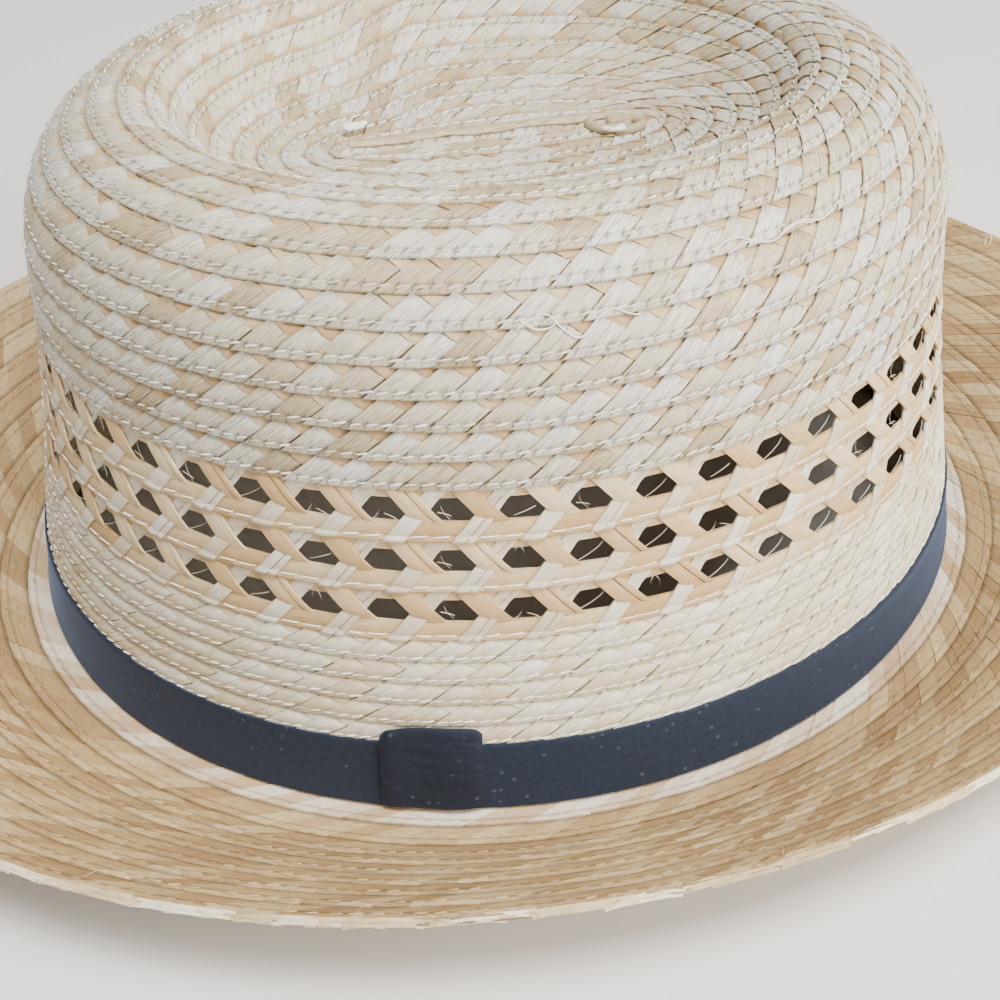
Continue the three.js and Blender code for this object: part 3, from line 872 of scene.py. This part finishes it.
ivory_straw = straw_finish("ivory_straw", [
    (0.0, (0.79, 0.69, 0.49)), (0.5, (0.87, 0.81, 0.65)), (1.0, (0.93, 0.90, 0.80)),
], streak=0.4, groove_shade=0.15, needle_hole_shade=0.2)
fine_cells, fine_turns = turns_by_length(fine_spot, FINE_ROUNDS, DENSE_CELL * MM)
fine_guide = lay_guide("fine_guide", fine_spot, fine_cells, fine_turns, FINE_ROUNDS)
lay_plait("base", fine_guide, fine_cells, ivory_straw, ivory_straw, 21, "straw_fine", "crown_base")

# Foot of the crown, behind the ribbon: the same ivory straw, pressed smooth. It is one plain
# wall from the brim up to the fine plait, and the ribbon lies on it.

FOOT_STEPS = 160


def round_the_foot(name, rows, wall, finish, angles, closed=True, bulge=0.0, rise=0.0):
    """A wall that follows the crown round its foot. rows are its section, from the foot up:
    mm up the straw and mm out from it. The wall's thickness goes inwards, towards the straw.
    bulge is how much further out it stands, in mm, at each angle, and rise how much higher
    its upper edge does."""
    across = np.array([(up * MM, out * MM) for up, out in rows])
    run = unit(np.gradient(across, axis=0))
    inner = across + np.stack([run[:, 1], -run[:, 0]], -1) * wall * MM
    loop = np.vstack([across, inner[::-1]])
    size, count = len(loop), len(angles)
    normal = unit(
        np.stack([np.cos(angles) / CROWN_LENGTH, np.sin(angles) / CROWN_WIDTH, 0 * angles], -1))
    bulge = np.broadcast_to(np.asarray(bulge) * MM, angles.shape)[:, None]
    rise = np.broadcast_to(np.asarray(rise) * MM, angles.shape)
    top = across[:, 0].max()
    points = np.stack([
        crown_spot(up + rise * up / top, angles) + normal * (out + bulge) for up, out in loop
    ], 1).reshape(-1, 3)
    faces = []
    for i in range(count if closed else count - 1):
        here, there = i * size, (i + 1) % count * size
        faces += [
            [here + k, there + k, there + (k + 1) % size, here + (k + 1) % size] for k in range(size)
        ]
    if not closed:
        faces.append(list(range(size)))
        faces.append([(count - 1) * size + k for k in range(size)][::-1])
    mesh = bpy.data.meshes.new(name)
    mesh.from_pydata(points.tolist(), [], faces)
    around = np.repeat(reach_along(points[::size]) / MM, size)
    up = np.tile(loop[:, 0] / MM, count)
    write_uv(mesh, np.stack([around, up], -1))
    smooth(mesh)
    mesh.materials.append(finish)
    return placed(name, mesh)


all_round = np.linspace(0, 2 * math.pi, FOOT_STEPS, endpoint=False)
foot_wall = round_the_foot(
    "crown_foot", [(-0.4, 0.0), (4, 0.0), (9, 0.0), (14.6, 0.0)], 1.3, ivory_straw, all_round)
dress(foot_wall, "straw_fine", "crown_base")

# Openwork round the middle of the crown: three rounds of wide straws laid three ways, which
# leave six-sided gaps. Each round's lower edge is a band of its own that the thread holds.

OPEN_FOOT = 36.1 * MM
OPEN_ROUND = 9.7
OPEN_CELL = 11.0
OPEN_AROUND = 48
OPEN_ROUNDS = 3
PALE_WIDTH = 3.4
PEACH_WIDTH = 4.2
CROSS_X = 5.45
CROSS_UP = 5.8


def open_spot(rounds, angle):
    return crown_spot(OPEN_FOOT + rounds * OPEN_ROUND * MM, angle)


def slanted(levels, lean, width, shift=0.0, **kept):
    """A straw that leans across the round. levels are mm across the round and mm out."""
    pairs = []
    for across, height in levels:
        x = CROSS_X + shift + lean * (across - CROSS_UP)
        pairs.append([(x + side * width / 2, across, height) for side in (-1, 1)])
    return flat_straw(pairs, **kept)


def lengthwise(levels, start, end, thick=0.5):
    """A straw that runs along the round, with its end over the next one's."""
    pairs = [((start, across, height - 0.04), (end, across, height + 0.04)) for across, height in levels]
    return flat_straw(pairs, arch=0.0, thick=thick, columns=2, grain="along")


# How the straws lie: mm across the round and mm out, from the lower edge up.
PALE_LEVELS = [
    (-0.1, 0.1), (0.15, 0.62), (0.5, 0.9), (0.95, 0.84), (1.3, 0.6), (1.9, 0.78), (3.7, 0.72), (5.0, 0.45),
    (6.2, 0.0), (7.4, -0.2), (8.8, 0.2), (10.2, 0.1),
]
PEACH_LEVELS = [(2.9, 0.05), (3.7, 0.22), (4.7, 0.55), (5.9, 0.68), (7.4, 0.6), (8.9, 0.42), (10.5, 0.0)]
BAND_LEVELS = [
    (0, 0.05), (0.16, 0.48), (0.5, 0.68), (0.95, 0.6), (1.3, 0.36), (1.8, 0.54), (3.0, 0.5), (3.9, 0.28),
]
HEAD_LEVELS = [(8.2, 0.12), (9.3, 0.05), (10.7, -0.2)]
# The fibres across some gaps, each with the numbers that fibre takes, in its order.
HOLE_FIBRES = [
    [],
    [(8.3, 4.4, 12.6, 7.3, 0.5)],
    [(9.0, 8.2, 10.4, 4.6, -0.6), (8.4, 5.9, 10.6, 5.2, 0.3)],
    [(8.7, 3.9, 10.2, 6.0, 0.4), (12.9, 4.2, 11.0, 5.2, 0.2), (9.6, 3.7, 9.9, 5.3, 0.2)],
    [(12.9, 6.3, 9.4, 4.9, 0.3)],
    [(10.2, 8.4, 10.9, 6.4, 0.3), (9.9, 8.4, 9.4, 6.9, -0.2)],
]

open_count = OPEN_AROUND * OPEN_ROUNDS + round(OPEN_AROUND * STEP_SHARE)
open_guide = lay_guide(
    "open_guide", open_spot, open_count, lambda cell: cell / OPEN_AROUND, OPEN_ROUNDS)
band_drawings = drawn_straws("bands", [
    [lengthwise(BAND_LEVELS, start, 13.7), lengthwise(HEAD_LEVELS, head_start, 13.7, thick=0.35)]
    for start, head_start in ((2.3, 2.3), (1.9, 1.8))
], OPEN_CELL, OPEN_ROUND)
open_pale_drawings = drawn_straws("open_pale", [
    [slanted(PALE_LEVELS, 0.75, PALE_WIDTH, thick=0.35)],
    [slanted(PALE_LEVELS, 0.75, PALE_WIDTH * 0.6, -0.7, thick=0.35, columns=2),
     slanted(PALE_LEVELS, 0.74, PALE_WIDTH * 0.36, 1.1, thick=0.35, columns=2)],
    [slanted(PALE_LEVELS, 0.78, PALE_WIDTH * 1.05, thick=0.35)],
], OPEN_CELL, OPEN_ROUND)
open_peach_drawings = drawn_straws("open_peach", [
    [slanted(PEACH_LEVELS, -0.85, PEACH_WIDTH)],
    [slanted(PEACH_LEVELS, -0.83, PEACH_WIDTH * 0.7, -0.7),
     slanted(PEACH_LEVELS, -0.83, PEACH_WIDTH * 0.3, 1.65, columns=2)],
], OPEN_CELL, OPEN_ROUND)
OPEN_STITCH_PITCH = 3.66
open_stitch_drawings = drawn_straws("open_stitches", [
    [stitch(3.2, 0.13, 0.3 + OPEN_STITCH_PITCH * n, 1.2, 0.64, 0.1) for n in range(3)],
    [stitch(2.6, 0.16, 0.5 + OPEN_STITCH_PITCH * n, 1.2, 0.62, 0.3) for n in range(3)],
    [stitch(2.9, 0.12, 0.4, 1.2, 0.62, 0.2), stitch(2.2, 0.15, 4.4, 1.15, 0.66, -0.1),
     stitch(3.2, 0.14, 7.5, 1.25, 0.62, 0.1)],
], OPEN_CELL, OPEN_ROUND)
fibre_drawings = drawn_fibres("fibres", HOLE_FIBRES, OPEN_CELL, OPEN_ROUND)

wide_peach_straw = straw_finish("wide_peach_straw", [
    (0.0, (0.62, 0.41, 0.20)), (0.5, (0.73, 0.53, 0.30)), (1.0, (0.79, 0.64, 0.41)),
], streak=0.4, groove_shade=0.0, crack=0.5)
wide_pale_straw = straw_finish("wide_pale_straw", [
    (0.0, (0.70, 0.59, 0.41)), (0.5, (0.78, 0.71, 0.57)), (1.0, (0.84, 0.81, 0.74)),
], streak=0.45, groove_shade=0.0, crack=0.55)
LOOSE = {"shift": (0.012, 0.1 * MM, 0.04 * MM), "lean": 0.02}
for piece in (
    wind("open_bands", open_guide, band_drawings, open_count, wide_peach_straw, 31, **STILL),
    wind("open_pale_straws", open_guide, open_pale_drawings, open_count, wide_pale_straw, 32, **LOOSE),
    wind("open_peach_straws", open_guide, open_peach_drawings, open_count, wide_peach_straw, 33, **LOOSE),
    wind("open_stitches", open_guide, open_stitch_drawings, open_count, stitch_thread, 34, **STILL),
    wind("open_fibres", open_guide, fibre_drawings, open_count, wide_pale_straw, 35, **LOOSE),
):
    dress(piece, "straw_openwork", "openwork_band")

# Brim: fine tan plait in nine rounds, flat beside the crown and then rolled up. It is wound from
# its cut edge in to the crown, and both of its faces show. The round beside the crown is paler
# than the rest, partly its own straw and partly a painted highlight where it bulges up into the light.

BRIM_ROUNDS = 9
BRIM_SIDE_WIDTH = 34.5 * MM
BRIM_END_WIDTH = 54.5 * MM
BRIM_SIDE_RISE = 22 * MM
BRIM_END_RISE = 20 * MM
BRIM_TOP = 2.9 * MM
BRIM_TROUGH = 1.1 * MM
BRIM_CELL = 5.5
# out: share of the width. up: share of the rise. dip: share of the trough's depth.
BRIM_SECTION = [
    {"out": 0, "up": 0, "dip": 0},
    {"out": 0.08, "up": 0, "dip": 1},
    {"out": 0.22, "up": 0, "dip": 1},
    {"out": 0.31, "up": 0.05, "dip": 0.4},
    {"out": 0.4, "up": 0.18, "dip": 0},
    {"out": 1, "up": 1, "dip": 0},
]


def brim_spot(rounds, angle):
    out = np.clip(1 - np.asarray(rounds) / BRIM_ROUNDS, -0.02, 1)
    places = [r["out"] for r in BRIM_SECTION]
    up, dip = (np.interp(out, places, [r[key] for r in BRIM_SECTION]) for key in ("up", "dip"))
    rise = BRIM_SIDE_RISE + (BRIM_END_RISE - BRIM_SIDE_RISE) * np.cos(angle) ** 2
    return np.stack([
        (CROWN_LENGTH / 2 + out * BRIM_END_WIDTH) * np.cos(angle),
        (CROWN_WIDTH / 2 + out * BRIM_SIDE_WIDTH) * np.sin(angle),
        BRIM_TOP - dip * BRIM_TROUGH + up * rise,
    ], -1)


# A straw's rise across the round: mm across, mm out. It leans along the plait as it goes up it.
BRIM_RISE = [(0, 0.0), (0.2, 0.36), (0.7, 0.5), (1.3, 0.3), (2.2, 0.42), (3.2, 0.26), (5.6, 0.0)]
BRIM_LEAN = 1.5


def brim_straws(splits):
    """One cell's straw of the brim, split lengthwise at the given shares of its width."""
    cuts = [0, *splits, 1]
    straws = []
    for low, high in zip(cuts, cuts[1:]):
        pairs = [
            ((low * BRIM_CELL + BRIM_LEAN * y, y, z + 0.1),
             (high * BRIM_CELL + 0.15 + BRIM_LEAN * y, y, z - 0.02))
            for y, z in BRIM_RISE
        ]
        straws.append(flat_straw(pairs, arch=0.03, thick=0.3, columns=2, grain="along"))
    return straws


tan_straw = straw_finish("tan_straw", [
    (0.0, (0.37, 0.235, 0.105)), (0.5, (0.49, 0.335, 0.16)), (0.8, (0.57, 0.41, 0.21)),
    (1.0, (0.64, 0.48, 0.27)),
], streak=0.6, groove_shade=0.4, crack=0.4, roughness=0.6)
brim_cells, brim_turns = turns_by_length(brim_spot, BRIM_ROUNDS, BRIM_CELL * MM)
brim_guide = lay_guide("brim_guide", brim_spot, brim_cells, brim_turns, BRIM_ROUNDS)
brim_drawings = drawn_straws(
    "brim_straws", [brim_straws(splits) for splits in ([], [0.5], [], [0.36])], BRIM_CELL)
brim_back_drawings = drawn_straws("brim_back", [inner_straws(-0.95, BRIM_CELL)], BRIM_CELL)
brim_plate_drawings = drawn_straws("brim_plate", [backing_plate(cell=BRIM_CELL)], BRIM_CELL)
BRIM_STITCH_PITCH = 3.2
brim_stitch_drawings = drawn_straws("brim_stitches", [
    [stitch(2.5, 0.14, across=1.3, height=0.36)], [stitch(2.2, 0.14, across=1.3, height=0.34)],
], BRIM_CELL)
tan_thread = straw_finish("tan_thread", [
    (0.0, (0.48, 0.34, 0.18)), (1.0, (0.62, 0.47, 0.29)),
], streak=0.15, groove_shade=0.0, crack=0.0, roughness=0.6)


def cell_at(turns):
    """The cell of the brim's plait that a number of turns from its cut edge reaches."""
    cells = np.arange(brim_cells)
    return int(np.interp(turns, brim_turns(cells), cells))


first_round = cell_at(BRIM_ROUNDS - 1)
brim_stitches = int(brim_cells * BRIM_CELL / BRIM_STITCH_PITCH)
# Paler straw for the round beside the crown: partly its own colour, partly a painted highlight where it
# bulges into the light.
scallop_straw_painted_highlight = straw_finish("scallop_straw_painted_highlight", [
    (0.0, (0.50, 0.34, 0.19)), (0.45, (0.65, 0.50, 0.35)), (1.0, (0.81, 0.73, 0.63)),
], streak=0.4, groove_shade=0.4)
for piece in (
    wind("brim_straws", brim_guide, brim_drawings, first_round, tan_straw, 41),
    wind("brim_first_round", brim_guide, brim_drawings, brim_cells - first_round, scallop_straw_painted_highlight, 47,
         start=float(first_round)),
    wind("brim_stitches", brim_guide, brim_stitch_drawings, brim_stitches, tan_thread, 42,
         spacing=BRIM_STITCH_PITCH / BRIM_CELL, lean=0.0),
    wind("brim_backing", brim_guide, brim_plate_drawings, brim_cells, tan_straw, 43, weld=True, **STILL),
    wind("brim_back_straws", brim_guide, brim_back_drawings, brim_cells, tan_straw, 44, lean=0.0),
):
    dress(piece, "straw_brim", "brim")

# Cut edge of the brim: a thin bundle of long straws that overlap as they go round, in cream and
# tan, with a few fine ends that stand up from it.


def edge_bar(start, end, across, height, radius, thick):
    """A straw of the edge, thinned and sunk at both ends. All its sizes are in mm."""
    pairs = []
    for share, wide, sink in ((0, 0.2, 0.3), (0.2, 1, 0), (0.8, 1, 0), (1, 0.2, 0.3)):
        x = start + (end - start) * share
        pairs.append([(x, across + side * radius * wide, height - sink) for side in (1, -1)])
    return flat_straw(pairs, arch=radius * 0.7, thick=thick)


# The straws and the ends of some cells, each with the numbers that edge_bar or fibre takes.
EDGE_BARS = [
    [(-6.6, 7.0, 0.08, 0.16, 0.13, 0.36), (-4.9, 5.6, 0.0, -0.15, 0.16, 0.4),
     (-5.8, 6.6, 0.04, -0.6, 0.2, 0.45)],
    [(-4.4, 8.2, 0.14, 0.22, 0.12, 0.38), (-7.4, 6.2, 0.04, -0.2, 0.17, 0.4)],
    [(-7.8, 5.9, 0.04, 0.14, 0.14, 0.36), (-5.6, 6.4, -0.04, -0.1, 0.16, 0.4),
     (-6.4, 5.4, 0.0, -0.7, 0.2, 0.45)],
]
EDGE_ENDS = [
    [], [(1.0, 0.3, 2.2, -0.6, 0.2, 0.3, 0.3)], [], [],
    [(2.0, 3.4, 3.4, 0.6, -0.3, 0.4, 0.6, 1.8), (2.9, 3.0, 4.1, 0.5, 0.3, 0.4, 0.55, 1.5)], [], [], [],
    [(0.5, 1.4, 1.7, 4.2, 0.2, 0.4, 0.35, 0.9)], [],
    [(0.5, 0.2, 1.0, -0.5, 0.1, 0.1, 0.35)], [],
]
edge_straw = straw_finish("edge_straw", [
    (0.0, (0.52, 0.38, 0.20)), (0.45, (0.72, 0.59, 0.38)), (1.0, (0.88, 0.82, 0.68)),
], streak=0.4, groove_shade=0.0)
edge_cells = cell_at(1.0)
edge_drawings = drawn_straws(
    "edge_straws", [[edge_bar(*row) for row in rows] for rows in EDGE_BARS], BRIM_CELL)
end_drawings = drawn_fibres("straw_ends", EDGE_ENDS, BRIM_CELL)
for piece in (
    wind("brim_edge", brim_guide, edge_drawings, edge_cells + 2, edge_straw, 45,
         shift=(0.04, 0.12 * MM, 0.1 * MM), lean=0.0, ripple=0.5 * MM),
    wind("brim_straw_ends", brim_guide, end_drawings, edge_cells, edge_straw, 46),
):
    dress(piece, "straw_brim", "brim")

# Ribbon: a dark ribbed band of cloth, drawn tight round the foot of the crown. It is a closed
# wall on the plain straw there, with a thicker woven edge above and below.


def ribbon_finish(name, colour, rib, sheen, roughness, crease=0.0):
    """Ribbed cloth with a soft sheen and a little lint. rib sets how fine its ribs are, and
    crease how deep its folds."""
    material, tree, shader = new_finish(name)
    flat = in_mm(tree)
    ribs = tree.nodes.new("ShaderNodeTexWave")
    tree.links.new(vector_maths(tree, "MULTIPLY", flat, (1.0, 0.0, 0.0)), ribs.inputs["Vector"])
    ribs.inputs["Scale"].default_value = rib
    ribs.inputs["Distortion"].default_value = 0.4
    weave = wire(tree, "ShaderNodeTexNoise", {"Vector": flat, "Scale": 0.8, "Detail": 6.0})
    speck = wire(tree, "ShaderNodeTexVoronoi", {"Vector": flat, "Scale": 0.33, "Randomness": 1.0})
    dark, light = (tuple(c * k for c in colour) for k in (0.88, 1.12))
    cloth = ramp(tree, weave, [(0.35, dark), (0.65, light)])
    lint = ramp(tree, speck, [(0.02, (0.11, 0.115, 0.13)), (0.16, (0, 0, 0))])
    both = mixed(tree, 0.6, cloth, lint, blend_type="ADD")
    tree.links.new(both, shader.inputs["Base Color"])
    for place, value in (
        ("Roughness", roughness), ("Sheen Weight", sheen), ("Sheen Roughness", 0.4),
        ("Sheen Tint", (0.4, 0.55, 0.9, 1)), ("Specular IOR Level", 0.2),
    ):
        shader.inputs[place].default_value = value
    folds = maths(tree, "MULTIPLY", noise(tree, flat, (0.09, 0.3, 1.0)), crease * 10)
    height = maths(tree, "ADD", ribs.outputs["Fac"], folds)
    raise_by(tree, shader, height, 0.3, 0.04 * MM)
    return material


RIBBON_WALL = 0.6
RIBBON_STEPS = 240
ribbon_cloth = ribbon_finish("ribbon_cloth", (0.018, 0.0255, 0.045), 1.1, 0.22, 0.7)
ribbon = round_the_foot("ribbon_round", [
    (0.1, 1.05), (0.5, 1.3), (1.0, 1.2), (4.0, 1.12), (7.5, 1.1), (11.0, 1.12), (13.9, 1.2), (14.4, 1.32),
    (14.9, 1.1),
], RIBBON_WALL, ribbon_cloth, np.linspace(0, 2 * math.pi, RIBBON_STEPS, endpoint=False))
dress(ribbon, "ribbon_cloth", "ribbon")

# Keeper: a tab of darker ribbon that is folded over the join and turned in behind its own upper
# edge, with soft creases and rounded corners.

KEEPER_WIDTH = 18.4 * MM
KEEPER_WALL = 0.5
KEEPER_ANGLE = math.radians(252.5)
keeper_cloth = ribbon_finish("keeper_cloth", (0.0145, 0.0185, 0.031), 1.6, 0.18, 0.8, crease=9.0)
beside_keeper = crown_spot(0, KEEPER_ANGLE + 0.005) - crown_spot(0, KEEPER_ANGLE - 0.005)
keeper_half = KEEPER_WIDTH / 2 / np.linalg.norm(beside_keeper / 0.01)
keeper_share = np.linspace(-1, 1, 22)
keeper = round_the_foot("keeper_tab", [
    (0.6, 1.8), (0.9, 2.05), (1.8, 2.2), (3.6, 2.0), (5.6, 2.3), (7.6, 2.05), (10.0, 2.4), (12.0, 2.05),
    (14.5, 2.3), (16.6, 2.1), (17.8, 2.05), (18.3, 1.8), (18.4, 1.4), (18.1, 1.1), (17.2, 1.0),
    (15.6, 1.0),
], KEEPER_WALL, keeper_cloth, KEEPER_ANGLE + keeper_half * keeper_share, closed=False,
    bulge=0.12 * np.sin(5 * keeper_share) - 0.6 * keeper_share ** 8,
    rise=0.7 + 0.35 * keeper_share - 0.9 * keeper_share ** 2 - 1.5 * keeper_share ** 12)
dress(keeper, "keeper_cloth", "ribbon_keeper")

# The photograph's view, a plain pale floor and soft studio light: one lamp overhead and one low
# at the front right.

CAMERA_PLACE = (-0.0423, -0.2193, 0.1921)
CAMERA_AXES = ((0.9774, 0.1567, -0.1419), (-0.2098, 0.6372, -0.7416), (-0.0258, 0.7547, 0.6557))
FLOOR_HALF = 4
camera = placed("camera", bpy.data.cameras.new("camera"))
camera.data.lens = 45
camera.data.sensor_width = 36
camera.data.clip_start = 0.01
camera.matrix_world = Matrix.Translation(CAMERA_PLACE) @ Matrix(CAMERA_AXES).to_4x4()
bpy.context.scene.camera = camera

floor_mesh = bpy.data.meshes.new("floor")
corners = [(x * FLOOR_HALF, y * FLOOR_HALF, 0) for x, y in ((-1, -1), (1, -1), (1, 1), (-1, 1))]
floor_mesh.from_pydata(corners, [], [(0, 1, 2, 3)])
floor_mesh.materials.append(plain_finish("pale_floor", (0.78, 0.77, 0.75), 0.8))
floor = placed("floor", floor_mesh)


def lamp(name, place, size, power, colour):
    light = placed(name, bpy.data.lights.new(name, "AREA"))
    light.data.size = size
    light.data.energy = power
    light.data.color = colour
    light.location = place
    light.rotation_euler = (Vector((0, 0, 0.05)) - Vector(place)).to_track_quat("-Z", "Y").to_euler()


lamp("window", (0.12, -0.36, 1.35), 0.5, 34.5, (1.0, 0.99, 0.96))
lamp("side", (1.1, -0.85, 0.5), 0.9, 40, (1.0, 0.95, 0.86))
world = bpy.data.worlds.new("studio")
world.use_nodes = True
background = world.node_tree.nodes["Background"]
background.inputs["Color"].default_value = (0.96, 0.97, 1.0, 1)
background.inputs["Strength"].default_value = 0.32
bpy.context.scene.world = world

# The drawings and guides that the plaits were wound from are cleared away.

for drawings in drawings_made:
    for item in list(drawings.objects):
        bpy.data.objects.remove(item)
    bpy.data.collections.remove(drawings)
for guide in guides_made:
    bpy.data.objects.remove(guide)
